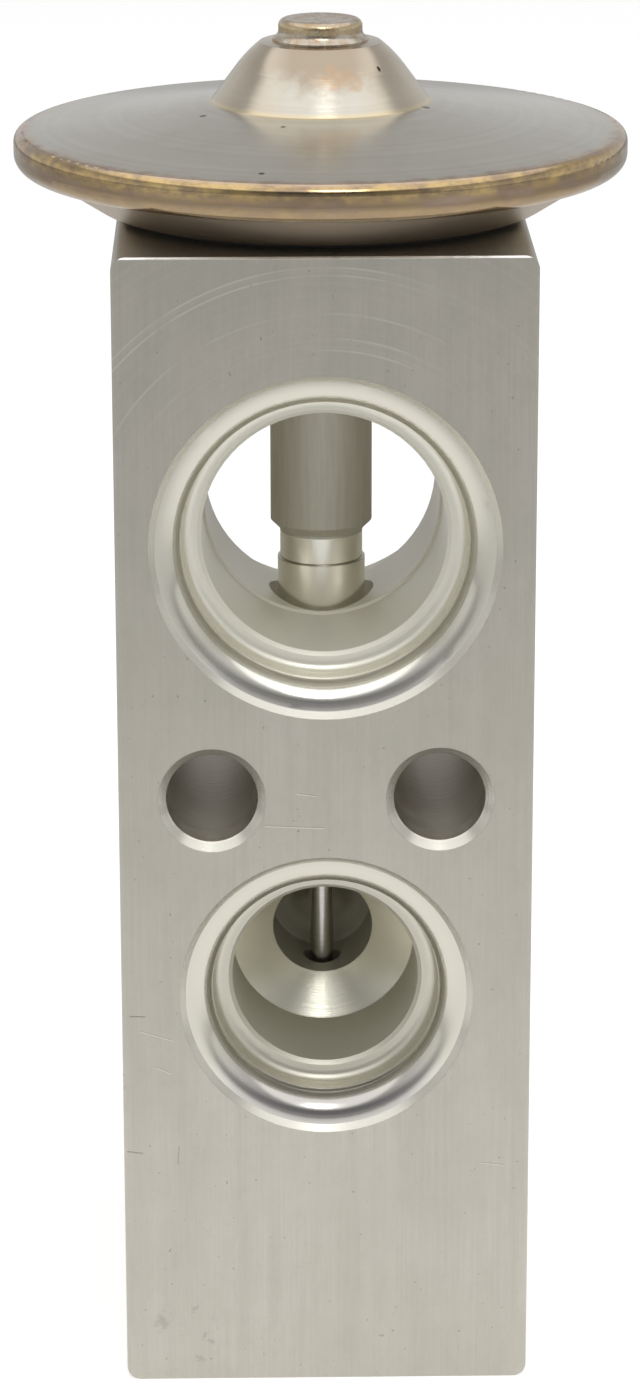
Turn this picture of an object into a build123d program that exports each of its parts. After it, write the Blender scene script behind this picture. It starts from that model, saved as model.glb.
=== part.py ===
from build123d import *
import os
from math import radians, sqrt, tan

# Block-type thermostatic expansion valve: a drilled aluminium block with a welded diaphragm head.
# Millimetres, +Z up. The origin is the centre of the block's foot and the front face looks along -Y.
# The Z axis is the valve axis: head, sensing rod, push pin, ball, spring and adjusting screw share it.

# ---- block ----
block_width = 32.0
block_depth = 39.0
block_height = 91.6
front_edge_round = 0.3
foot_round = 1.1
top_edge_break = 0.12
half_depth = block_depth / 2

# ---- ports: bores along Y, with depths behind the face that they open in ----
suction_z = 69.0            # through passage for the returning gas
suction_r = 9.5
suction_bore_depth = 14.9   # where the front tube bore meets the drilled passage
passage_r = 9.3
suction_mouth_r = 13.0
suction_gland_r = 11.0
rear_socket_r = 11.6
rear_gland_r = 12.9
rear_socket_floor = 25.2    # both floors are measured from the front face
rear_gland_floor = 34.2

outlet_z = 32.8             # low-pressure liquid out of the front face
outlet_mouth_r = 11.0
outlet_gland_r = 8.9
outlet_bore_r = 7.35
outlet_bore_depth = 14.0
outlet_drill_r = 4.05
outlet_drill_depth = 22.3

inlet_z = 17.5              # high-pressure liquid into the rear face
inlet_mouth_r = 9.1
inlet_gland_r = 7.5
inlet_bore_r = 5.2
inlet_bore_depth = 11.0
inlet_drill_r = 2.8
inlet_drill_depth = 15.5

gland_depth = 4.6
gland_corner = 0.9
mouth_break = 0.5
bore_break = 0.3
drill_point = radians(59)   # half angle of a drill's point

bolt_x = 8.8
bolt_z = 49.0
bolt_r = 3.55
bolt_break = 0.65

# ---- bores on the valve axis ----
head_thread_r = 10.0
head_thread_floor = 82.8
head_thread_break = 0.85
rod_top_bore_r = 5.0
rod_hole_r = 4.2
rod_hole_floor = 55.5
seal_pocket_r = 3.4
seal_pocket_floor = 51.6
pin_r = 0.95
orifice_r = 1.55
seat_z = 25.6
chamber_r = 6.0
chamber_foot_z = 9.0
screw_thread_r = 7.0
screw_thread_top = 8.0
screw_mouth_break = 0.8
running_gap = 0.05          # radial play, also left between faces that only touch

# ---- head ----
rim_r = 23.93
rim_top_z = 97.8
rim_top_round = 0.82
rim_bottom_z = 94.83
rim_bottom_round = 1.28
joint_z = 96.3              # where the two covers meet
cover_t = 0.95
dish_r = 17.3
dish_z = 91.9
dish_round = 1.6
flange_r = 21.87            # where the dish's flank meets its flange
diaphragm_pocket_r = 21.3
boss_foot_z = 83.4
boss_bore_r = 7.0
boss_break = 0.4
dome_base_r = 8.54
dome_base_z = 99.98
dome_shoulder_r = 6.6
dome_shoulder_z = 102.6
dome_edge_r = 4.71
dome_edge_z = 104.55
dome_top_z = 104.65
charge_hole_r = 1.6
plug_r = 3.27
plug_top_z = 106.32
plug_round = 0.55
plug_lip_r = 3.75
plug_lip_t = 0.25
gasket_inner_r = 11.2
gasket_outer_r = 16.2

diaphragm_t = 0.18
diaphragm_r = 23.0
wave_start_r = 12.0
wave_end_r = 21.0
wave_count = 3
wave_height = 0.32

plate_top_z = joint_z - running_gap
plate_r = 11.5
plate_t = 1.0
plate_hub_r = 6.0

# ---- sensing rod, push pin and seal ----
rod_r = 4.05
rod_top_z = 93.6
rod_spigot_r = 2.45
rod_shoulder_z = 66.3
rod_neck_r = 3.3
rod_collar_r = 3.5
rod_collar_z = 63.2
rod_guide_r = 4.1
rod_guide_z = 59.4
rod_end_z = 56.9
retainer_z = 54.2
retainer_t = 0.4
retainer_slots = 6

# ---- ball, spring and adjuster ----
ball_r = 2.3
seat_gap = 0.06
pin_gap = 0.03
carrier_r = 3.4
carrier_flange_r = 4.6
carrier_flange_z = 21.8
carrier_stem_r = 2.6
carrier_foot_z = 18.2
leg_count = 8
leg_t = 0.25
leg_width = 1.5
leg_length = 3.2
spring_r = 3.6
spring_wire_r = 0.55
spring_turns = 5
spring_foot_z = 12.6
spring_top_z = 20.6
screw_foot_z = 2.6
screw_shoulder_z = 6.3
screw_spigot_r = 2.7
screw_spigot_top = 15.0
hex_across = 6.0
hex_depth = 5.2
seal_groove_r = 4.5
seal_groove_z = 9.8
seal_groove_top = 11.5


# ---- shared outlines ----
def corner(section, r, z, radius):
    """Rounds the outline's corner at (r, z)."""
    fillet(section.vertices().sort_by_distance((r, z))[0], radius)


def turned_section(points):
    """Closed outline of (radius, height) points beside the valve axis."""
    with BuildSketch(Plane.XZ) as section:
        with BuildLine():
            Polyline(*points, close=True)
        make_face()
    return section.sketch


def drilled_section(points, rounds, x, z):
    """Closed outline of (depth behind the front face, radius) points beside a bore along Y."""
    with BuildSketch(Plane.YZ.offset(x)) as section:
        with BuildLine():
            Polyline(*[(depth - half_depth, z + radius) for depth, radius in points], close=True)
        make_face()
        for depth, radius, size in rounds:
            corner(section, depth - half_depth, z + radius, size)
    return section.sketch


def from_rear(outline):
    """The same bore outline or rounds measured from the rear face."""
    return [(block_depth - place[0], *place[1:]) for place in outline]


def gland(mouth_r, gland_r, bore_r):
    """Port mouth: edge break, rounded lip, seal recess and the tube bore's broken edge."""
    return [
        (0, 0),
        (0, mouth_r + mouth_break),
        (mouth_break, mouth_r),
        (mouth_break, gland_r),
        (gland_depth, gland_r),
        (gland_depth, bore_r + bore_break),
        (gland_depth + bore_break, bore_r),
    ]


def gland_rounds(mouth_r, gland_r):
    """The lip's full round and the recess's corner, for the outline that gland() gives."""
    lip_round = mouth_r - gland_r - running_gap
    return [(mouth_break, gland_r, lip_round), (gland_depth, gland_r, gland_corner)]


def drill_end(start, bore_r, drill_r, drill_depth):
    """Bore bottom left by two drills: a conical step, the small bore and its pointed end."""
    step = start + (bore_r - drill_r) / tan(drill_point)
    return [
        (start, bore_r),
        (step, drill_r),
        (drill_depth, drill_r),
        (drill_depth + drill_r / tan(drill_point), 0),
    ]


# ---- outlines of the ports ----
socket_lead = 0.9
suction_bore = gland(suction_mouth_r, suction_gland_r, suction_r) + [
    (suction_bore_depth, suction_r),
    (suction_bore_depth + suction_r - passage_r, passage_r),
    (rear_socket_floor - socket_lead, passage_r),
    (rear_socket_floor, passage_r + socket_lead),
    (rear_socket_floor, rear_socket_r),
    (rear_gland_floor - bore_break, rear_socket_r),
    (rear_gland_floor, rear_socket_r + bore_break),
    (rear_gland_floor, rear_gland_r),
    (block_depth - mouth_break, rear_gland_r),
    (block_depth, rear_gland_r + mouth_break),
    (block_depth, 0),
]
suction_rounds = gland_rounds(suction_mouth_r, suction_gland_r) + [
    (rear_gland_floor, rear_gland_r, gland_corner)
]
outlet_bore = gland(outlet_mouth_r, outlet_gland_r, outlet_bore_r) + drill_end(
    outlet_bore_depth, outlet_bore_r, outlet_drill_r, outlet_drill_depth
)
outlet_rounds = gland_rounds(outlet_mouth_r, outlet_gland_r)
inlet_bore = from_rear(
    gland(inlet_mouth_r, inlet_gland_r, inlet_bore_r)
    + drill_end(inlet_bore_depth, inlet_bore_r, inlet_drill_r, inlet_drill_depth)
)
inlet_rounds = from_rear(gland_rounds(inlet_mouth_r, inlet_gland_r))
bolt_bore = [
    (0, 0),
    (0, bolt_r + bolt_break),
    (bolt_break, bolt_r),
    (block_depth - bolt_break, bolt_r),
    (block_depth, bolt_r + bolt_break),
    (block_depth, 0),
]

# ---- outlines of the bores on the valve axis ----
chamber_top = seat_z - (chamber_r - orifice_r) / tan(drill_point)
head_bore = [
    (0, block_height),
    (head_thread_r + running_gap + head_thread_break, block_height),
    (head_thread_r + running_gap, block_height - head_thread_break),
    (head_thread_r + running_gap, head_thread_floor),
    (rod_top_bore_r, head_thread_floor),
    (rod_top_bore_r, suction_z),
    (0, suction_z),
]
rod_bore = [
    (0, suction_z),
    (rod_hole_r, suction_z),
    (rod_hole_r, rod_hole_floor),
    (seal_pocket_r, rod_hole_floor),
    (seal_pocket_r, seal_pocket_floor),
    (pin_r + running_gap, seal_pocket_floor),
    (pin_r + running_gap, outlet_z),
    (0, outlet_z),
]
spring_bore = [
    (0, outlet_z),
    (orifice_r, outlet_z),
    (orifice_r, seat_z),
    (chamber_r, chamber_top),
    (chamber_r, chamber_foot_z),
    (screw_thread_r, screw_thread_top),
    (screw_thread_r, screw_mouth_break),
    (screw_thread_r + screw_mouth_break, 0),
    (0, 0),
]

# ---- valve block: drawn bar, cut to length and drilled from five sides ----
with BuildPart() as valve_block:
    with BuildSketch():
        RectangleRounded(block_width, block_depth, front_edge_round)
    extrude(amount=block_height)
    chamfer(valve_block.faces().sort_by(Axis.Z)[-1].edges(), top_edge_break)
    with BuildSketch(Plane.XZ.offset(-half_depth)) as bar:
        with Locations((0, block_height / 2)):
            Rectangle(block_width, block_height)
        fillet(bar.vertices().group_by(Axis.Z)[0], foot_round)
    extrude(amount=block_depth, mode=Mode.INTERSECT)
    for bore, rounds, x, z in (
        (suction_bore, suction_rounds, 0, suction_z),
        (outlet_bore, outlet_rounds, 0, outlet_z),
        (inlet_bore, inlet_rounds, 0, inlet_z),
        (bolt_bore, [], -bolt_x, bolt_z),
        (bolt_bore, [], bolt_x, bolt_z),
    ):
        section = drilled_section(bore, rounds, x, z)
        revolve(section, axis=Axis((x, 0, z), (0, 1, 0)), mode=Mode.SUBTRACT)
    for bore in (head_bore, rod_bore, spring_bore):
        revolve(turned_section(bore), axis=Axis.Z, mode=Mode.SUBTRACT)

# ---- head: two pressed covers welded at the rim, with the diaphragm between them ----
dish_floor_z = dish_z + cover_t
with BuildPart() as lower_cover:
    with BuildSketch(Plane.XZ) as section:
        with BuildLine():
            boss = Polyline(
                (boss_bore_r, boss_foot_z),
                (head_thread_r - boss_break, boss_foot_z),
                (head_thread_r, boss_foot_z + boss_break),
                (head_thread_r, dish_z),
                (dish_r, dish_z),
            )
            flange = Polyline(boss @ 1, (flange_r, rim_bottom_z), (rim_r - rim_bottom_round, rim_bottom_z))
            edge = RadiusArc(flange @ 1, (rim_r, rim_bottom_z + rim_bottom_round), -rim_bottom_round)
            Polyline(
                edge @ 1,
                (rim_r, joint_z),
                (diaphragm_pocket_r, joint_z),
                (diaphragm_pocket_r, joint_z - cover_t + running_gap),
                (dish_r - cover_t / 2, dish_floor_z),
                (boss_bore_r, dish_floor_z),
                boss @ 0,
            )
        make_face()
        corner(section, dish_r, dish_z, dish_round)
        corner(section, flange_r, rim_bottom_z, dish_round)
    revolve(axis=Axis.Z)

shelf_z = joint_z + diaphragm_t + running_gap
with BuildPart() as upper_cover:
    with BuildSketch(Plane.XZ) as section:
        with BuildLine():
            rim = Line((rim_r, joint_z), (rim_r, rim_top_z - rim_top_round))
            edge = RadiusArc(rim @ 1, (rim_r - rim_top_round, rim_top_z), -rim_top_round)
            flank = Polyline(edge @ 1, (dome_base_r, dome_base_z), (dome_shoulder_r, dome_shoulder_z))
            shoulder = TangentArc(flank @ 1, (dome_edge_r, dome_edge_z), tangent=flank % 1)
            Polyline(
                shoulder @ 1,
                (plug_lip_r, dome_top_z),
                (charge_hole_r, dome_top_z),
                (charge_hole_r, dome_top_z - cover_t),
                (dome_edge_r - cover_t / 2, dome_edge_z - cover_t),
                (dome_shoulder_r - cover_t, dome_shoulder_z - cover_t / 2),
                (dome_base_r - cover_t, dome_base_z - cover_t),
                (diaphragm_pocket_r, shelf_z + diaphragm_t),
                (diaphragm_pocket_r, shelf_z),
                (diaphragm_r + running_gap, shelf_z),
                (diaphragm_r + running_gap, joint_z),
                rim @ 0,
            )
        make_face()
    revolve(axis=Axis.Z)


def wave_line(z):
    """One face of the corrugated disc as (radius, height) points, from its centre to its flat edge."""
    quarter_wave = (wave_end_r - wave_start_r) / wave_count / 4
    points = [(0, z), (wave_start_r, z)]
    for wave in range(wave_count):
        wave_r = wave_start_r + 4 * quarter_wave * wave
        points += [(wave_r + quarter_wave, z + wave_height), (wave_r + 3 * quarter_wave, z - wave_height)]
    return points + [(wave_end_r, z), (diaphragm_r, z)]


diaphragm_z = joint_z + running_gap / 2
with BuildPart() as diaphragm:
    upper_face = wave_line(diaphragm_z + diaphragm_t)
    revolve(turned_section(wave_line(diaphragm_z) + upper_face[::-1]), axis=Axis.Z)

with BuildPart() as charge_plug:
    plug_foot_z = dome_top_z + 2 * plug_lip_t
    with BuildSketch(Plane.XZ) as section:
        with BuildLine():
            Polyline(
                (0, dome_top_z - cover_t),
                (charge_hole_r - running_gap, dome_top_z - cover_t),
                (charge_hole_r - running_gap, dome_top_z),
                (plug_lip_r, dome_top_z),
                (plug_lip_r, dome_top_z + plug_lip_t / 2),
                (plug_r, plug_foot_z),
                (plug_r, plug_top_z),
                (0, plug_top_z),
                close=True,
            )
        make_face()
        corner(section, plug_r, plug_top_z, plug_round)
        corner(section, plug_r, plug_foot_z, plug_round)
    revolve(axis=Axis.Z)

with BuildPart() as head_gasket:
    with BuildSketch(Plane.XY.offset(block_height)):
        Circle(gasket_outer_r)
        Circle(gasket_inner_r, mode=Mode.SUBTRACT)
    extrude(amount=dish_z - block_height)

plate_break = 0.5
spigot_top_z = plate_top_z - plate_t
with BuildPart() as diaphragm_plate:
    plate = [
        (0, plate_top_z),
        (plate_r - plate_break, plate_top_z),
        (plate_r, plate_top_z - plate_break),
        (plate_r, plate_top_z - plate_t),
        (plate_hub_r + plate_break, plate_top_z - plate_t),
        (plate_hub_r, plate_top_z - plate_t - plate_break),
        (plate_hub_r, rod_top_z),
        (rod_spigot_r + running_gap, rod_top_z),
        (rod_spigot_r + running_gap, spigot_top_z + running_gap),
        (0, spigot_top_z + running_gap),
    ]
    revolve(turned_section(plate), axis=Axis.Z)

# ---- sensing rod, push pin and their seal ----
rod_break = 0.25
with BuildPart() as sensing_rod:
    rod = [
        (0, spigot_top_z),
        (rod_spigot_r - rod_break, spigot_top_z),
        (rod_spigot_r, spigot_top_z - rod_break),
        (rod_spigot_r, rod_top_z),
        (rod_r, rod_top_z),
        (rod_r, rod_shoulder_z),
        (rod_neck_r, rod_shoulder_z - (rod_r - rod_neck_r)),
        (rod_neck_r, rod_collar_z + running_gap),
        (rod_collar_r, rod_collar_z),
        (rod_collar_r, rod_guide_z),
        (rod_guide_r, rod_guide_z),
        (rod_guide_r, rod_end_z + rod_break),
        (rod_guide_r - rod_break, rod_end_z),
        (0, rod_end_z),
    ]
    revolve(turned_section(rod), axis=Axis.Z)

ball_z = seat_z - sqrt(ball_r**2 - orifice_r**2) - seat_gap
pin_break = 0.12
with BuildPart() as push_pin:
    with BuildSketch(Plane.XY.offset(rod_end_z)):
        Circle(pin_r)
    extrude(amount=ball_z + ball_r + pin_gap - rod_end_z)
    chamfer(push_pin.edges(), pin_break)

ring_gap = 0.02
with BuildPart() as pin_seal:
    ring_r = (seal_pocket_r - pin_r) / 2 - ring_gap
    with Locations((0, 0, seal_pocket_floor + ring_r + ring_gap)):
        Torus((seal_pocket_r + pin_r) / 2, ring_r)

slot_length = 1.5
slot_width = 0.45
with BuildPart() as seal_retainer:
    with BuildSketch(Plane.XY.offset(retainer_z)):
        Circle(seal_pocket_r - ring_gap)
        Circle(pin_r + slot_width, mode=Mode.SUBTRACT)
        with PolarLocations(pin_r + slot_width, retainer_slots):
            Rectangle(slot_length, slot_width, mode=Mode.SUBTRACT)
    extrude(amount=retainer_t)

# ---- ball, its carrier and the metering spring ----
with BuildPart() as valve_ball:
    with Locations((0, 0, ball_z)):
        Sphere(ball_r)

carrier_break = 0.3
carrier_top_z = ball_z - ball_r / 2
with BuildPart() as ball_carrier:
    carrier = [
        (0, carrier_foot_z),
        (carrier_stem_r - carrier_break, carrier_foot_z),
        (carrier_stem_r, carrier_foot_z + carrier_break),
        (carrier_stem_r, spring_top_z),
        (carrier_flange_r, spring_top_z),
        (carrier_flange_r, carrier_flange_z),
        (carrier_r, carrier_flange_z),
        (carrier_r, carrier_top_z - carrier_break),
        (carrier_r - carrier_break, carrier_top_z),
        (0, carrier_top_z),
    ]
    revolve(turned_section(carrier), axis=Axis.Z)
    with Locations((0, 0, ball_z)):
        Sphere(ball_r + ring_gap, mode=Mode.SUBTRACT)

leg_outer_r = chamber_r - running_gap
with BuildPart() as damper_spring:
    with BuildSketch(Plane.XY.offset(carrier_flange_z)):
        Circle(carrier_flange_r)
        Circle(carrier_r + running_gap, mode=Mode.SUBTRACT)
        with PolarLocations((carrier_r + leg_outer_r) / 2 + leg_t, leg_count):
            Rectangle(leg_outer_r - carrier_r - 2 * leg_t, leg_width)
    extrude(amount=leg_t)
    with BuildSketch(Plane.XY.offset(carrier_flange_z)):
        with PolarLocations(leg_outer_r - leg_t, leg_count):
            Rectangle(leg_t, leg_width)
    extrude(amount=-leg_length)

with BuildPart() as metering_spring:
    spring_height = spring_top_z - spring_foot_z
    with BuildLine() as coil:
        Helix(spring_height / spring_turns, spring_height, spring_r, center=(0, 0, spring_foot_z))
    with BuildSketch(Plane(origin=coil.line @ 0, z_dir=coil.line % 0)):
        Circle(spring_wire_r)
    sweep()
    with Locations((0, 0, spring_foot_z + spring_height / 2)):
        Cylinder(chamber_r, spring_height, mode=Mode.INTERSECT)

# ---- superheat adjuster in the foot of the block ----
screw_r = screw_thread_r - running_gap
nose_r = chamber_r - running_gap
screw_break = 0.6
spigot_break = 0.4
with BuildPart() as adjusting_screw:
    screw = [
        (0, screw_foot_z),
        (screw_r - screw_break, screw_foot_z),
        (screw_r, screw_foot_z + screw_break),
        (screw_r, screw_shoulder_z),
        (nose_r, screw_shoulder_z + screw_break),
        (nose_r, seal_groove_z),
        (seal_groove_r, seal_groove_z),
        (seal_groove_r, seal_groove_top),
        (nose_r, seal_groove_top),
        (nose_r, spring_foot_z - spigot_break),
        (nose_r - spigot_break, spring_foot_z),
        (screw_spigot_r, spring_foot_z),
        (screw_spigot_r, screw_spigot_top - spigot_break),
        (screw_spigot_r - spigot_break, screw_spigot_top),
        (0, screw_spigot_top),
    ]
    revolve(turned_section(screw), axis=Axis.Z)
    with BuildSketch(Plane.XY.offset(screw_foot_z)):
        RegularPolygon(hex_across / 2, 6, major_radius=False)
    extrude(amount=hex_depth, mode=Mode.SUBTRACT)

with BuildPart() as adjuster_seal:
    ring_r = (chamber_r - seal_groove_r) / 2 - ring_gap
    with Locations((0, 0, (seal_groove_z + seal_groove_top) / 2)):
        Torus((chamber_r + seal_groove_r) / 2, ring_r)

# ---- one STEP file for each piece ----
pieces = {
    "valve_block": valve_block,
    "lower_cover": lower_cover,
    "upper_cover": upper_cover,
    "diaphragm": diaphragm,
    "charge_plug": charge_plug,
    "head_gasket": head_gasket,
    "diaphragm_plate": diaphragm_plate,
    "sensing_rod": sensing_rod,
    "push_pin": push_pin,
    "pin_seal": pin_seal,
    "seal_retainer": seal_retainer,
    "valve_ball": valve_ball,
    "ball_carrier": ball_carrier,
    "damper_spring": damper_spring,
    "metering_spring": metering_spring,
    "adjusting_screw": adjusting_screw,
    "adjuster_seal": adjuster_seal,
}
os.makedirs("parts", exist_ok=True)
for label, piece in pieces.items():
    piece.part.label = label
    export_step(piece.part, f"parts/{label}.step")
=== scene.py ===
import math

import bpy
from mathutils import Matrix, Vector


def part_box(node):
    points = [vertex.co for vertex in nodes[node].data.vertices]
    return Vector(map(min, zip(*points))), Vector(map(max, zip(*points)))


# Block-type expansion valve in metres: finishes for the machined, pressed and turned pieces.
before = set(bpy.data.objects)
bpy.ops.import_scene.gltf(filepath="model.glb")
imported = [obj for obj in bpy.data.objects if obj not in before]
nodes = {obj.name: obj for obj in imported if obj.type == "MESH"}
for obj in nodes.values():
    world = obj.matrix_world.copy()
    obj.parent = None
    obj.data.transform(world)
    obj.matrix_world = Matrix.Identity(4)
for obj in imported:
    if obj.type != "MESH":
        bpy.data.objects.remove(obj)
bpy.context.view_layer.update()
bpy.ops.object.select_all(action="DESELECT")

MM = 0.001
PALE = (1.0, 1.0, 1.0, 1.0)

# ---- places on the valve, in millimetres ----
HALF_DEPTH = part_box("valve_block")[1].y / MM
BLOCK_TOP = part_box("valve_block")[1].z / MM
RIM_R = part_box("upper_cover")[1].x / MM
RIM_TOP = 97.8
SEAM_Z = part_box("upper_cover")[0].z / MM
SUCTION_Z = 69.0
OUTLET_Z = 32.8
INLET_Z = 17.5
BOLT_X = 8.8
BOLT_Z = 49.0
SUCTION_MOUTH_R = 13.0
OUTLET_MOUTH_R = 11.0
INLET_MOUTH_R = 9.1
BOLT_R = 3.55
SCREW_MOUTH_R = 7.85
MOUTH_BREAK = 0.5
BOLT_BREAK = 0.65
DOME_BASE_R = 8.54
DOME_BASE_Z = 99.98
ROD_POLISH_TOP = 65.3
ROD_COLLAR_Z = 63.22


# ---- node helpers ----
class Finish:
    """A material put together from named nodes, in millimetres of the object's own coordinates."""

    def __init__(self, name, colour, metallic, roughness):
        self.material = bpy.data.materials.new(name)
        self.material.use_nodes = True
        self.tree = self.material.node_tree
        self.shader = self.tree.nodes["Principled BSDF"]
        self.shader.inputs["Base Color"].default_value = (*colour, 1.0)
        self.shader.inputs["Metallic"].default_value = metallic
        self.shader.inputs["Roughness"].default_value = roughness
        place = self.tree.nodes.new("ShaderNodeTexCoord").outputs["Object"]
        self.place = self.vector_math("SCALE", place, scale=1 / MM)
        split = self.tree.nodes.new("ShaderNodeSeparateXYZ")
        self.tree.links.new(self.place, split.inputs[0])
        self.x, self.y, self.z = split.outputs

    def put(self, socket, value):
        if isinstance(value, bpy.types.NodeSocket):
            self.tree.links.new(value, socket)
        else:
            socket.default_value = value

    def math(self, operation, first, second=None, third=None, clamp=False):
        node = self.tree.nodes.new("ShaderNodeMath")
        node.operation = operation
        node.use_clamp = clamp
        for socket, value in zip(node.inputs, (first, second, third)):
            if value is not None:
                self.put(socket, value)
        return node.outputs[0]

    def vector_math(self, operation, first, second=None, scale=None):
        node = self.tree.nodes.new("ShaderNodeVectorMath")
        node.operation = operation
        self.put(node.inputs[0], first)
        if second is not None:
            self.put(node.inputs[1], second)
        if scale is not None:
            self.put(node.inputs["Scale"], scale)
        return node.outputs["Vector"]

    def step(self, value, low, high):
        """0 below low, 1 above high, smooth between them. low may be the larger one."""
        node = self.tree.nodes.new("ShaderNodeMapRange")
        node.interpolation_type = "SMOOTHSTEP"
        self.put(node.inputs["Value"], value)
        node.inputs["From Min"].default_value = low
        node.inputs["From Max"].default_value = high
        return node.outputs["Result"]

    def spread(self, value, low, high, to_low=0.0, to_high=1.0):
        node = self.tree.nodes.new("ShaderNodeMapRange")
        self.put(node.inputs["Value"], value)
        node.inputs["From Min"].default_value = low
        node.inputs["From Max"].default_value = high
        node.inputs["To Min"].default_value = to_low
        node.inputs["To Max"].default_value = to_high
        return node.outputs["Result"]

    def point(self, x, y, z):
        node = self.tree.nodes.new("ShaderNodeCombineXYZ")
        for socket, value in zip(node.inputs, (x, y, z)):
            self.put(socket, value)
        return node.outputs[0]

    def noise(self, place, scale, detail=3.0, roughness=0.5, stretch=(1, 1, 1)):
        node = self.tree.nodes.new("ShaderNodeTexNoise")
        self.put(node.inputs["Vector"], self.vector_math("MULTIPLY", place, stretch))
        node.inputs["Scale"].default_value = scale
        node.inputs["Detail"].default_value = detail
        node.inputs["Roughness"].default_value = roughness
        return node.outputs["Fac"]

    def radius(self, across, along, centre_across=0.0, centre_along=0.0):
        a = self.math("SUBTRACT", across, centre_across)
        b = self.math("SUBTRACT", along, centre_along)
        square = self.math("ADD", self.math("MULTIPLY", a, a), self.math("MULTIPLY", b, b))
        return self.math("SQRT", square)

    def blend(self, share, first, second):
        node = self.tree.nodes.new("ShaderNodeMix")
        node.data_type = "RGBA"
        self.put(node.inputs["Factor"], share)
        for socket, value in ((node.inputs["A"], first), (node.inputs["B"], second)):
            self.put(socket, (*value, 1.0) if isinstance(value, tuple) else value)
        return node.outputs["Result"]

    def mix(self, share, first, second):
        node = self.tree.nodes.new("ShaderNodeMix")
        self.put(node.inputs["Factor"], share)
        self.put(node.inputs["A"], first)
        self.put(node.inputs["B"], second)
        return node.outputs["Result"]

    def bump(self, height, depth_mm, strength=1.0, under=None):
        node = self.tree.nodes.new("ShaderNodeBump")
        self.put(node.inputs["Strength"], strength)
        node.inputs["Distance"].default_value = depth_mm * MM
        self.put(node.inputs["Height"], height)
        if under is not None:
            self.put(node.inputs["Normal"], under)
        return node.outputs["Normal"]

    def segment(self, start, end):
        """Distance in the front plane from the line between two (x, z) places."""
        along = Vector((end[0] - start[0], 0.0, end[1] - start[1]))
        flat = self.point(self.x, 0.0, self.z)
        from_start = self.vector_math("SUBTRACT", flat, (start[0], 0.0, start[1]))
        dot = self.tree.nodes.new("ShaderNodeVectorMath")
        dot.operation = "DOT_PRODUCT"
        self.put(dot.inputs[0], from_start)
        self.put(dot.inputs[1], along / along.length_squared)
        share = self.math("MINIMUM", self.math("MAXIMUM", dot.outputs["Value"], 0.0), 1.0)
        foot = self.vector_math("SCALE", tuple(along), scale=share)
        gap = self.tree.nodes.new("ShaderNodeVectorMath")
        gap.operation = "DISTANCE"
        self.put(gap.inputs[0], from_start)
        self.put(gap.inputs[1], foot)
        return gap.outputs["Value"]

    def all_of(self, *masks):
        share = masks[0]
        for mask in masks[1:]:
            share = self.math("MULTIPLY", share, mask)
        return share

    def any_of(self, *masks):
        share = masks[0]
        for mask in masks[1:]:
            share = self.math("MAXIMUM", share, mask)
        return share

    def set(self, **sockets):
        for name, value in sockets.items():
            self.put(self.shader.inputs[name.replace("_", " ")], value)


def give(node_names, finish):
    for name in node_names:
        mesh = nodes[name].data
        mesh.materials.clear()
        mesh.materials.append(finish.material)


# ---- finishes ----
SCRATCHES = (
    ((-2.3, 49.55), (-0.7, 49.3)),
    ((-4.7, 46.9), (-0.15, 46.7)),
    ((-14.55, 29.95), (-12.0, 29.15)),
    ((-13.4, 26.9), (-12.2, 26.4)),
    ((12.1, 18.6), (14.1, 18.35)),
)
NICKS = (
    ((-15.35, 31.2), (-14.2, 31.15)),
    ((-15.7, 19.75), (-14.55, 19.6)),
    ((-11.65, 20.1), (-11.75, 18.65)),
)
STAINS = ((-13.2, 5.2, 0.9), (-10.7, 6.2, 0.5), (-9.5, 3.4, 0.45), (-10.2, 1.7, 0.5))
FACING_ARCS = (21.8, 21.2, 18.3, 16.4, 15.5)
FACED_Z = (76.0, 84.0)              # each pair: where a mask starts and where it is full, or the reverse
ARCS_FADE_Z = (72.0, 86.0)
SUCTION_BAND_R = (12.05, 12.35)
OUTLET_BAND_START_R = (9.95, 10.05)
OUTLET_BAND_END_R = (10.4, 10.25)
DOME_BROWN_AND_SHADE_Z = (101.4, 103.4)
COPPER_STAIN = (1.6, -6.3, 102.5)
PLUG_EDGE_START_Z = (105.3, 105.6)
PLUG_EDGE_END_Z = (106.25, 106.0)


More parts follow.
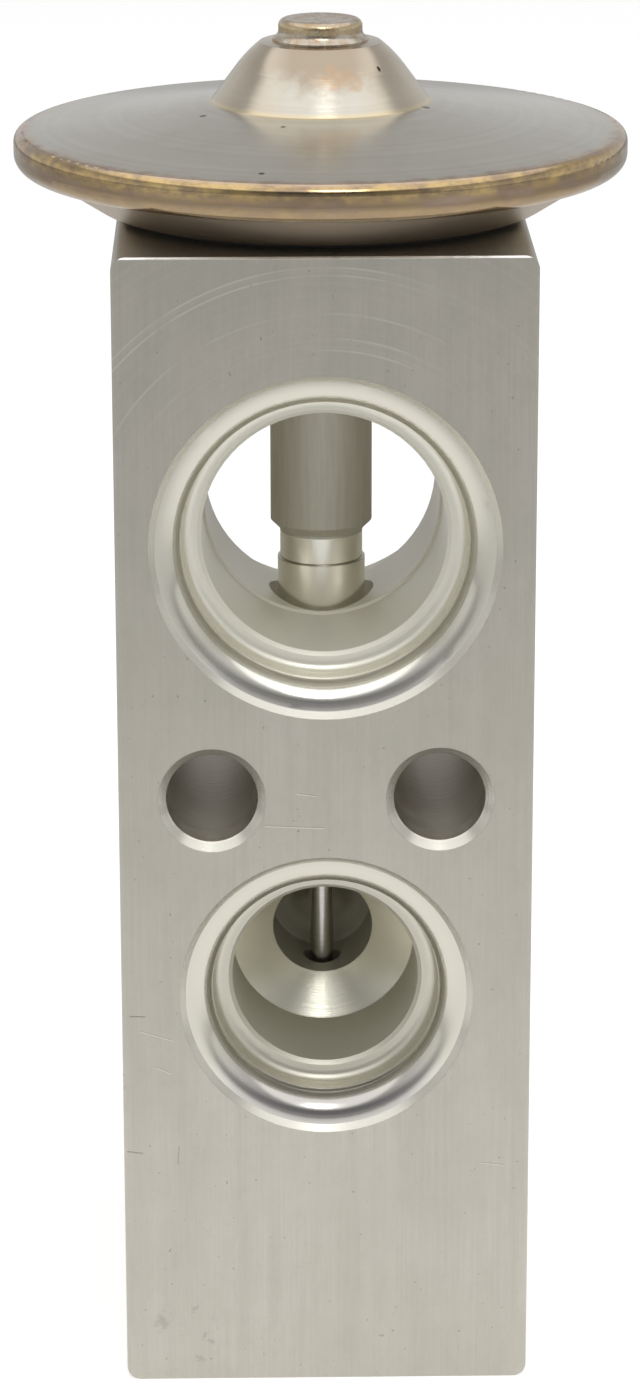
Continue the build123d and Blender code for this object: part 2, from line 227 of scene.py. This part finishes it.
def drawn_aluminium():
    f = Finish("drawn_aluminium", (0.54, 0.52, 0.47), 1.0, 0.4)
    grain = f.noise(f.place, 5.0, 5.0, 0.7, (1.0, 1.0, 0.02))
    streaks = f.noise(f.place, 0.5, 3.0, 0.6, (1.0, 1.0, 0.03))
    cloud = f.noise(f.place, 0.12, 3.0)
    suction_r = f.radius(f.x, f.z, 0.0, SUCTION_Z)
    outlet_r = f.radius(f.x, f.z, 0.0, OUTLET_Z)
    inlet_r = f.radius(f.x, f.z, 0.0, INLET_Z)
    bolt_r = f.radius(f.math("ABSOLUTE", f.x), f.z, BOLT_X, BOLT_Z)
    screw_r = f.radius(f.x, f.y)
    front = f.step(f.y, 4.0, 3.0)
    in_suction = f.step(suction_r, SUCTION_MOUTH_R + 0.05, SUCTION_MOUTH_R)
    in_outlet = f.all_of(f.step(outlet_r, OUTLET_MOUTH_R + 0.05, OUTLET_MOUTH_R), front)
    in_inlet = f.all_of(f.step(inlet_r, INLET_MOUTH_R + 0.05, INLET_MOUTH_R), f.step(f.y, 3.0, 4.0))
    in_bolt = f.step(bolt_r, BOLT_R + 0.1, BOLT_R + 0.05)
    in_screw = f.all_of(f.step(screw_r, SCREW_MOUTH_R, SCREW_MOUTH_R - 0.05), f.step(f.z, INLET_Z, 10.0))
    bored = f.any_of(in_suction, in_outlet, in_inlet, in_bolt, in_screw)
    behind_face = f.math("SUBTRACT", HALF_DEPTH, f.math("ABSOLUTE", f.y))
    round_suction = f.step(suction_r, SUCTION_MOUTH_R + MOUTH_BREAK + 0.05, SUCTION_MOUTH_R + MOUTH_BREAK)
    round_outlet = f.step(outlet_r, OUTLET_MOUTH_R + MOUTH_BREAK + 0.05, OUTLET_MOUTH_R + MOUTH_BREAK)
    round_inlet = f.step(inlet_r, INLET_MOUTH_R + MOUTH_BREAK + 0.05, INLET_MOUTH_R + MOUTH_BREAK)
    round_bolt = f.step(bolt_r, BOLT_R + BOLT_BREAK + 0.05, BOLT_R + BOLT_BREAK)
    round_mouth = f.any_of(
        round_suction, round_bolt, f.all_of(round_outlet, front), f.all_of(round_inlet, f.step(f.y, 3.0, 4.0))
    )
    edge_break = f.all_of(round_mouth, f.step(behind_face, 0.01, 0.04))

    # drawn faces: upright grain, dull clouds, arcs left by a facing cutter, small knocks
    tone = f.math("ADD", f.math("MULTIPLY", grain, 0.6), f.math("MULTIPLY", streaks, 0.4))
    face = f.blend(f.spread(tone, 0.35, 0.65), (0.498, 0.475, 0.417), (0.555, 0.528, 0.468))
    face = f.blend(f.spread(cloud, 0.4, 0.65, 0.0, 0.4), face, (0.46, 0.445, 0.385))
    fine = f.noise(f.place, 0.9, 5.0, 0.75, (1.0, 1.0, 0.6))
    face = f.blend(f.spread(fine, 0.45, 0.7, 0.0, 0.3), face, (0.43, 0.41, 0.355))
    upper_front = f.all_of(front, f.step(f.z, *FACED_Z))
    turned = f.noise(f.point(suction_r, 0.0, 0.0), 2.2, 4.0, 0.7)
    face = f.blend(f.all_of(upper_front, f.spread(turned, 0.5, 0.75, 0.0, 0.3)), face, (0.66, 0.64, 0.58))
    for arc_r in FACING_ARCS:
        off_arc = f.math("ABSOLUTE", f.math("SUBTRACT", suction_r, arc_r))
        broken = f.all_of(f.step(f.z, *ARCS_FADE_Z), f.spread(cloud, 0.4, 0.6))
        line = f.all_of(f.step(off_arc, 0.12, 0.02), front, broken)
        face = f.blend(f.math("MULTIPLY", line, 0.5), face, (0.72, 0.70, 0.64))
    marks = []
    for start, end in SCRATCHES:
        line = f.all_of(f.step(f.segment(start, end), 0.07, 0.02), front)
        marks.append(line)
        face = f.blend(f.math("MULTIPLY", line, 0.35), face, (0.80, 0.78, 0.72))
    for start, end in NICKS:
        line = f.all_of(f.step(f.segment(start, end), 0.09, 0.02), front)
        marks.append(line)
        face = f.blend(f.math("MULTIPLY", line, 0.4), face, (0.24, 0.22, 0.19))
    blot = f.noise(f.place, 1.3, 3.0, 0.6)
    for x, z, r in STAINS:
        ragged = f.math("ADD", f.radius(f.x, f.z, x, z), f.spread(blot, 0.3, 0.7, -0.6, 0.6))
        face = f.blend(f.all_of(f.step(ragged, r, 0.2 * r), front, 0.4), face, (0.30, 0.28, 0.24))
    speck = f.noise(f.place, 2.6, 1.0, 0.5)
    face = f.blend(f.spread(speck, 0.76, 0.79, 0.0, 0.6), face, (0.28, 0.26, 0.22))

    # bores: tool rings along the depth, dull drilled holes
    tool_line = f.noise(f.point(f.y, 0.0, 0.0), 2.6, 5.0, 0.8)
    end_line = f.noise(f.point(outlet_r, 0.0, 0.0), 2.6, 4.0, 0.75)
    bore = f.blend(f.spread(tool_line, 0.3, 0.7), (0.78, 0.76, 0.66), (0.87, 0.85, 0.76))
    # the outlet bore is painted darker than the other bores: painted shade inside the deep port
    bore = f.blend(f.all_of(in_outlet, 0.6), bore, (0.55, 0.53, 0.44))
    deep = f.all_of(in_outlet, f.step(f.y, -5.8, -5.5))
    lip = f.all_of(bored, f.step(behind_face, 3.2, 2.6))
    bore = f.blend(f.all_of(deep, f.spread(end_line, 0.4, 0.7, 0.0, 0.5)), bore, (0.58, 0.56, 0.48))
    low_suction = f.all_of(f.step(f.z, 62.0, 57.5), f.step(f.z, 53.0, 54.0))
    low_side = f.any_of(low_suction, f.step(f.z, 28.0, 23.5))
    # the lower lips are painted pale: a painted reflection of the light from overhead, the rest of each lip
    # darker
    bore = f.blend(lip, bore, f.blend(low_side, (0.64, 0.62, 0.54), (0.93, 0.91, 0.84)))
    # tints that stand in for the light and dark reflections along the lower lips
    near_middle = f.step(f.math("ABSOLUTE", f.x), 12.0, 7.0)
    suction_band = f.all_of(lip, low_side, f.step(suction_r, *SUCTION_BAND_R), near_middle)
    bore = f.blend(f.math("MULTIPLY", suction_band, 0.7), bore, (0.40, 0.375, 0.36))
    outlet_band = f.all_of(
        lip, low_side, f.step(outlet_r, *OUTLET_BAND_START_R), f.step(outlet_r, *OUTLET_BAND_END_R)
    )
    bore = f.blend(f.math("MULTIPLY", outlet_band, 0.6), bore, (0.36, 0.34, 0.36))
    step_cone = f.all_of(in_outlet, f.step(f.y, -5.7, -5.4), f.step(f.y, -3.3, -3.6))
    bore = f.blend(step_cone, bore, (0.83, 0.81, 0.69))
    drilled = f.blend(f.spread(tool_line, 0.4, 0.6), (0.60, 0.56, 0.48), (0.74, 0.70, 0.62))
    bore = f.blend(in_bolt, bore, drilled)

    face = f.blend(edge_break, face, (0.66, 0.64, 0.57))
    # painted highlight: a near-white line along the block's top front edge
    top_edge = f.all_of(f.step(f.z, BLOCK_TOP - 0.2, BLOCK_TOP - 0.1), f.step(behind_face, 0.25, 0.1))
    face = f.blend(f.all_of(top_edge, f.spread(streaks, 0.35, 0.5, 0.5, 1.0)), face, (0.97, 0.96, 0.92))
    f.set(Base_Color=f.blend(bored, face, bore))
    face_gloss = f.mix(edge_break, f.spread(tone, 0.3, 0.7, 0.46, 0.38), 0.26)
    inner_gloss = f.mix(lip, f.spread(tool_line, 0.3, 0.7, 0.38, 0.30), 0.17)
    inner_gloss = f.mix(step_cone, inner_gloss, 0.2)
    f.set(Roughness=f.mix(bored, face_gloss, inner_gloss))
    dull_share = f.math("SUBTRACT", f.all_of(bored, f.step(behind_face, 4.0, 5.0)), step_cone)
    dull_share = f.math("MULTIPLY", dull_share, f.mix(in_suction, 0.35, 0.6))
    dull_share = f.math("ADD", dull_share, f.math("MULTIPLY", edge_break, 0.2))
    f.set(Metallic=f.math("SUBTRACT", 1.0, dull_share, clamp=True))
    lines = f.mix(bored, tone, f.mix(deep, tool_line, end_line))
    relief = f.bump(lines, 0.04, f.mix(bored, 0.2, f.mix(f.any_of(lip, step_cone), 0.8, 0.15)))
    f.set(Normal=f.bump(f.any_of(*marks), 0.03, 0.5, relief))
    return f


SPECKS = ((-9.1, -5.4, 0.35), (8.1, -3.6, 0.4), (-3.0, -10.2, 0.25), (4.4, -4.4, 0.2), (-4.7, -20.6, 0.3))


def head_steel():
    f = Finish("head_steel", (0.56, 0.54, 0.50), 1.0, 0.25)
    r = f.radius(f.x, f.y)
    ring_line = f.noise(f.point(r, 0.0, 0.0), 1.1, 4.0, 0.7)
    mottle = f.noise(f.place, 0.35, 4.0, 0.6)
    haze = f.noise(f.place, 0.09, 2.0)
    skin = f.blend(f.spread(ring_line, 0.35, 0.65), (0.535, 0.507, 0.44), (0.60, 0.572, 0.505))
    skin = f.blend(f.spread(mottle, 0.45, 0.7, 0.0, 0.4), skin, (0.50, 0.46, 0.39))

    # dome: brown heat tint towards the plug, laid on thicker over the top as painted shade; a copper stain
    # beside it
    within_dome = f.step(r, DOME_BASE_R + 0.1, DOME_BASE_R - 0.2)
    on_dome = f.all_of(within_dome, f.step(f.z, DOME_BASE_Z - 0.1, DOME_BASE_Z + 0.3))
    uneven_z = f.math("ADD", f.z, f.spread(mottle, 0.3, 0.7, -0.9, 0.9))
    # darker brown over the dome's top: heat tint near the plug, and painted shade over the top
    browned_and_shaded = f.all_of(on_dome, f.step(uneven_z, *DOME_BROWN_AND_SHADE_Z))
    aside = f.step(f.math("ABSOLUTE", f.x), 2.0, 5.0)
    skin = f.blend(f.all_of(browned_and_shaded, f.spread(aside, 0.0, 1.0, 0.9, 0.35)), skin, (0.38, 0.31, 0.23))
    skin = f.blend(f.all_of(on_dome, aside, 0.5), skin, (0.56, 0.47, 0.35))
    stain_gap = f.vector_math("SUBTRACT", f.place, COPPER_STAIN)
    stain = f.tree.nodes.new("ShaderNodeVectorMath")
    stain.operation = "LENGTH"
    f.put(stain.inputs[0], f.vector_math("MULTIPLY", stain_gap, (0.55, 1.0, 1.0)))
    frayed = f.spread(f.noise(f.place, 1.1, 3.0, 0.6), 0.3, 0.7, -0.6, 0.6)
    ragged = f.math("ADD", stain.outputs["Value"], frayed)
    skin = f.blend(f.all_of(f.step(ragged, 1.3, 0.6), 0.5), skin, (0.48, 0.33, 0.20))
    base_gap = f.math("ABSOLUTE", f.math("SUBTRACT", r, DOME_BASE_R))
    base_line = f.all_of(f.step(base_gap, 0.28, 0.08), f.step(f.z, 99.0, 99.6))
    skin = f.blend(f.math("MULTIPLY", base_line, 0.6), skin, (0.70, 0.58, 0.36))

    # rim: heat tint of the weld, gold above, brown along the seam
    tint_noise = f.noise(f.place, 0.5, 4.0, 0.65, (1.0, 1.0, 2.0))
    on_rim = f.step(f.math("ADD", r, f.spread(tint_noise, 0.3, 0.7, -0.35, 0.35)), RIM_R - 1.6, RIM_R - 0.6)
    gold = f.blend(f.spread(tint_noise, 0.40, 0.60), (0.58, 0.41, 0.175), (0.33, 0.235, 0.135))
    patch = f.noise(f.place, 0.28, 3.0, 0.6)
    gold = f.blend(f.spread(patch, 0.54, 0.64, 0.0, 0.75), gold, (0.27, 0.19, 0.13))
    violet = f.blend(f.spread(mottle, 0.4, 0.6), (0.40, 0.30, 0.25), (0.52, 0.38, 0.30))
    below = f.step(f.z, SEAM_Z + 0.5, SEAM_Z - 0.2)
    tint = f.blend(f.all_of(below, 0.8), gold, (0.27, 0.19, 0.11))
    seam_gap = f.math("ABSOLUTE", f.math("SUBTRACT", f.z, SEAM_Z))
    seam = f.all_of(f.step(seam_gap, 0.5, 0.1), f.spread(tint_noise, 0.4, 0.65, 0.1, 0.6))
    tint = f.blend(seam, tint, violet)
    top_edge = f.all_of(f.step(f.z, RIM_TOP - 0.25, RIM_TOP - 0.05), f.spread(mottle, 0.35, 0.6, 0.2, 0.8))
    tint = f.blend(top_edge, tint, violet)
    skin = f.blend(f.math("MULTIPLY", on_rim, 0.92), skin, tint)

    # dish under the rim: dull brown
    under = f.step(f.z, SEAM_Z - 1.1, SEAM_Z - 1.6)
    skin = f.blend(f.math("MULTIPLY", under, 0.95), skin, (0.40, 0.325, 0.245))
    above_rim = f.step(f.z, 97.0, 97.5)
    for x, y, size in SPECKS:
        speck = f.all_of(f.step(f.radius(f.x, f.y, x, y), size, 0.5 * size), above_rim)
        skin = f.blend(speck, skin, (0.05, 0.04, 0.03))
    f.set(Base_Color=skin)
    gloss = f.mix(on_rim, f.spread(haze, 0.3, 0.7, 0.15, 0.23), 0.14)
    f.set(Roughness=f.mix(under, gloss, 0.45))
    f.set(Metallic=f.spread(under, 0.0, 1.0, 1.0, 0.7))
    waves = f.math("ADD", f.math("MULTIPLY", ring_line, 0.6), f.math("MULTIPLY", mottle, 0.4))
    f.set(Normal=f.bump(waves, 0.05, 0.4))
    return f


def plug_steel():
    f = Finish("plug_steel", (0.58, 0.53, 0.45), 1.0, 0.25)
    mottle = f.noise(f.place, 1.2, 4.0, 0.6)
    skin = f.blend(f.spread(mottle, 0.4, 0.62), (0.52, 0.48, 0.41), (0.44, 0.32, 0.21))
    # painted highlight: a gold band along the plug's rounded top edge
    edge_highlight = f.all_of(f.step(f.z, *PLUG_EDGE_START_Z), f.step(f.z, *PLUG_EDGE_END_Z))
    skin = f.blend(f.all_of(edge_highlight, 0.6), skin, (0.62, 0.48, 0.26))
    f.set(Base_Color=skin)
    f.set(Roughness=f.spread(mottle, 0.3, 0.7, 0.2, 0.34))
    f.set(Normal=f.bump(mottle, 0.1, 0.6))
    return f


def rod_aluminium():
    f = Finish("rod_aluminium", (0.6, 0.59, 0.55), 1.0, 0.4)
    polished = f.step(f.z, ROD_POLISH_TOP + 0.1, ROD_POLISH_TOP)
    grain = f.noise(f.place, 3.0, 3.0, 0.6, (1.0, 1.0, 0.06))
    dull = f.blend(f.spread(grain, 0.3, 0.7), (0.58, 0.555, 0.485), (0.66, 0.635, 0.56))
    collar = f.step(f.math("ABSOLUTE", f.math("SUBTRACT", f.z, ROD_COLLAR_Z)), 0.1, 0.05)
    f.set(Base_Color=f.blend(collar, f.blend(polished, dull, (0.95, 0.93, 0.84)), (0.45, 0.43, 0.37)))
    f.set(Roughness=f.mix(polished, 0.6, 0.27))
    f.set(Metallic=f.mix(polished, 0.65, 1.0))
    f.set(Normal=f.bump(grain, 0.03, 0.4))
    return f


def turned_metal(name, colour, roughness):
    f = Finish(name, colour, 1.0, roughness)
    lines = f.noise(f.point(0.0, 0.0, f.z), 4.0, 3.0, 0.6)
    dark = tuple(0.8 * c for c in colour)
    f.set(Base_Color=f.blend(f.spread(lines, 0.3, 0.7), dark, colour))
    f.set(Normal=f.bump(lines, 0.02, 0.4))
    return f


def seal_rubber():
    f = Finish("seal_rubber", (0.03, 0.03, 0.03), 0.0, 0.6)
    speckle = f.noise(f.place, 6.0, 3.0)
    f.set(Base_Color=f.blend(speckle, (0.02, 0.02, 0.02), (0.05, 0.05, 0.05)))
    f.set(Normal=f.bump(speckle, 0.03, 0.5))
    return f


give(["valve_block"], drawn_aluminium())
give(["upper_cover", "lower_cover", "diaphragm_plate"], head_steel())
give(["charge_plug"], plug_steel())
give(["sensing_rod"], rod_aluminium())
give(["push_pin", "ball_carrier"], turned_metal("pin_steel", (0.62, 0.60, 0.56), 0.25))
give(["diaphragm", "valve_ball"], turned_metal("foil_steel", (0.70, 0.70, 0.70), 0.2))
spring_steel = turned_metal("spring_steel", (0.45, 0.45, 0.45), 0.3)
give(["metering_spring", "damper_spring", "seal_retainer"], spring_steel)
give(["adjusting_screw"], turned_metal("screw_brass", (0.70, 0.55, 0.30), 0.3))
give(["head_gasket", "pin_seal", "adjuster_seal"], seal_rubber())


# ---- floor, world and lamps ----
class Surround:
    """Nodes shared by the floor and the world: what the camera and what metal sees of them."""

    def __init__(self, tree):
        self.tree = tree
        self.rays = tree.nodes.new("ShaderNodeLightPath").outputs
        self.in_metal = self.math("MAXIMUM", self.rays["Is Glossy Ray"], self.rays["Is Transmission Ray"])

    def math(self, operation, first, second):
        node = self.tree.nodes.new("ShaderNodeMath")
        node.operation = operation
        for socket, value in zip(node.inputs, (first, second)):
            if isinstance(value, bpy.types.NodeSocket):
                self.tree.links.new(value, socket)
            else:
                socket.default_value = value
        return node.outputs[0]

    def range(self, value, low, high, to_low, to_high):
        node = self.tree.nodes.new("ShaderNodeMapRange")
        node.interpolation_type = "SMOOTHSTEP"
        self.tree.links.new(value, node.inputs["Value"])
        limits = {"From Min": low, "From Max": high, "To Min": to_low, "To Max": to_high}
        for name, number in limits.items():
            node.inputs[name].default_value = number
        return node.outputs["Result"]

    def level(self, plain, camera, metal):
        """One strength for each kind of ray."""
        seen = self.math("MULTIPLY", self.rays["Is Camera Ray"], camera)
        mirrored = self.math("MULTIPLY", self.in_metal, metal)
        other = self.math("SUBTRACT", 1.0, self.math("MAXIMUM", self.rays["Is Camera Ray"], self.in_metal))
        return self.math("ADD", self.math("ADD", seen, mirrored), self.math("MULTIPLY", other, plain))


FLOOR_SIZE = 6.0
FLOOR_SEEN = 0.55           # added glow, so that the shaded floor still renders nearly white
FLOOR_NEAR = 0.58           # glow in metal: a pool of light around the valve
FLOOR_FAR = 0.0
WORLD_LIGHT = 0.45
WORLD_SEEN = 1.0
SKY_FRONT = 0.28            # what metal sees straight ahead, at the sides, behind and overhead
SKY_SIDE = 0.80
SKY_BACK = 0.66
SKY_HIGH = 1.35

bpy.ops.mesh.primitive_plane_add(size=FLOOR_SIZE, location=(0, 0, 0))
floor = bpy.context.object
floor.name = "floor"
floor_material = bpy.data.materials.new("pale_floor")
floor_material.use_nodes = True
surround = Surround(floor_material.node_tree)
floor_shader = surround.tree.nodes["Principled BSDF"]
floor_shader.inputs["Base Color"].default_value = (0.8, 0.8, 0.8, 1.0)
floor_shader.inputs["Roughness"].default_value = 0.9
floor_shader.inputs["Specular IOR Level"].default_value = 0.0
floor_shader.inputs["Emission Color"].default_value = PALE
reach = surround.tree.nodes.new("ShaderNodeVectorMath")
reach.operation = "LENGTH"
surround.tree.links.new(surround.tree.nodes.new("ShaderNodeTexCoord").outputs["Object"], reach.inputs[0])
pool = surround.range(reach.outputs["Value"], 0.03, 0.32, FLOOR_NEAR, FLOOR_FAR)
surround.tree.links.new(surround.level(0.0, FLOOR_SEEN, pool), floor_shader.inputs["Emission Strength"])
floor.data.materials.append(floor_material)

world = bpy.data.worlds.new("studio")
bpy.context.scene.world = world
world.use_nodes = True
surround = Surround(world.node_tree)
background = surround.tree.nodes["Background"]
background.inputs["Color"].default_value = PALE
toward = surround.tree.nodes.new("ShaderNodeSeparateXYZ")
surround.tree.links.new(surround.tree.nodes.new("ShaderNodeTexCoord").outputs["Generated"], toward.inputs[0])
front_sky = surround.range(toward.outputs["Y"], -0.95, -0.50, SKY_FRONT, SKY_SIDE)
back_sky = surround.range(toward.outputs["Y"], 0.70, 1.0, 0.0, SKY_BACK - SKY_SIDE)
raised = surround.range(toward.outputs["Z"], math.sin(math.radians(5)), math.sin(math.radians(38)), 0.0, 0.25)
low_sky = surround.math("SUBTRACT", surround.math("ADD", front_sky, back_sky), raised)
overhead = surround.range(
    toward.outputs["Z"], math.sin(math.radians(32)), math.sin(math.radians(46)), 0.0, SKY_HIGH
)
sky = surround.math("MAXIMUM", low_sky, overhead)
surround.tree.links.new(surround.level(WORLD_LIGHT, WORLD_SEEN, sky), background.inputs["Strength"])


def softbox(name, place, size, power):
    data = bpy.data.lights.new(name, "AREA")
    data.shape = "RECTANGLE"
    data.size, data.size_y = size
    data.energy = power
    lamp = bpy.data.objects.new(name, data)
    bpy.context.scene.collection.objects.link(lamp)
    lamp.location = place
    aim = Vector((0.0, 0.0, 0.055)) - Vector(place)
    lamp.rotation_euler = aim.to_track_quat("-Z", "Y").to_euler()
    return lamp


softbox("front_left", (-0.50, -0.35, 0.30), (0.25, 0.40), 0.4).visible_glossy = False
softbox("front_right", (0.50, -0.35, 0.30), (0.25, 0.40), 0.5).visible_glossy = False
softbox("key", (0.05, -0.40, 0.54), (0.16, 0.22), 0.5)
softbox("overhead", (0.0, 0.0, 0.80), (0.8, 0.5), 1.5).visible_glossy = False

# ---- camera ----
IMAGE_HEIGHT_PX = 1391
SENSOR = 36.0
FOCAL_PX = 4484.3
AZIMUTH = -0.0169
ELEVATION = 0.3053
ROLL = -0.0018
CAMERA_PLACE = Vector((-5.98, -346.81, 160.63)) * MM

back = Vector(
    (
        math.sin(AZIMUTH) * math.cos(ELEVATION),
        -math.cos(AZIMUTH) * math.cos(ELEVATION),
        math.sin(ELEVATION),
    )
)
level_right = Vector((math.cos(AZIMUTH), math.sin(AZIMUTH), 0.0))
level_up = back.cross(level_right)
right = math.cos(ROLL) * level_right + math.sin(ROLL) * level_up
up = back.cross(right)
camera_data = bpy.data.cameras.new("camera")
camera_data.sensor_width = SENSOR
camera_data.lens = FOCAL_PX / IMAGE_HEIGHT_PX * SENSOR
camera_data.clip_start = 0.01
camera = bpy.data.objects.new("camera", camera_data)
bpy.context.scene.collection.objects.link(camera)
camera.matrix_world = Matrix.Translation(CAMERA_PLACE) @ Matrix((right, up, back)).transposed().to_4x4()
bpy.context.scene.camera = camera
bpy.context.scene.view_settings.view_transform = "Standard"
